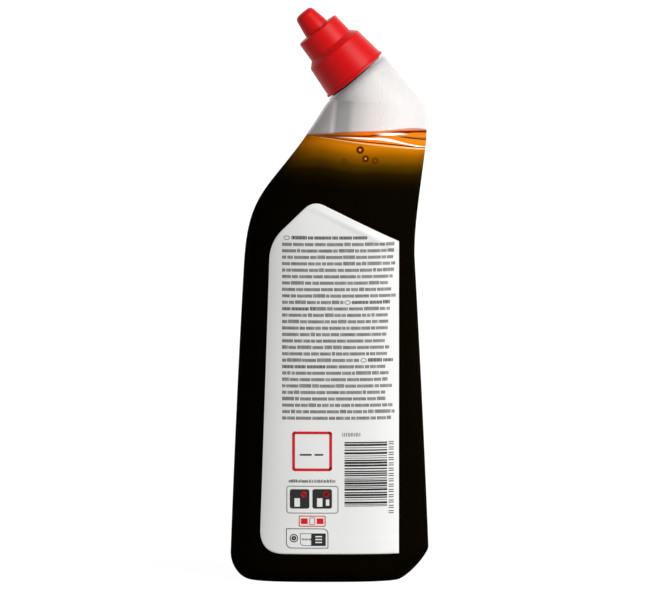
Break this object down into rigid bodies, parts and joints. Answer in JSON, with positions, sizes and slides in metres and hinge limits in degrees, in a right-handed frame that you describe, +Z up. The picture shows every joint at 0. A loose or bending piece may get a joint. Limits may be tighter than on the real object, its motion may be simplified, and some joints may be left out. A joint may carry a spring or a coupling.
{
  "type": "toilet cleaner bottle",
  "caption": "Clear swan-neck squeeze bottle filled with dark amber toilet cleaner, with a spout insert, a stepped red squeeze-and-turn cap and a white back label.",
  "frame": {"origin": "middle of the base on the surface that the bottle stands on", "axes": "+Z up, -Y towards the side with the back label, and the neck leans towards -X"},
  "size_m": [0.0954, 0.0538, 0.2747],
  "materials": {
    "clear_bottle": "clear gloss",
    "liquid": "clear dark amber liquid",
    "label": "satin film",
    "insert": "natural moulded",
    "cap": "semi-gloss moulded"
  },
  "bodies": {
    "bottle": {"bottle": "clear_bottle", "cleaning_liquid": "liquid", "back_label": "label", "nozzle_insert": "insert"},
    "cap": {"cap": "cap"}
  },
  "joints": [
    {"name": "cap_lift", "type": "slide", "parent": "bottle", "child": "cap", "axis": [-0.6394, 0, 0.7688], "range_m": [0, 0.045]}
  ]
}
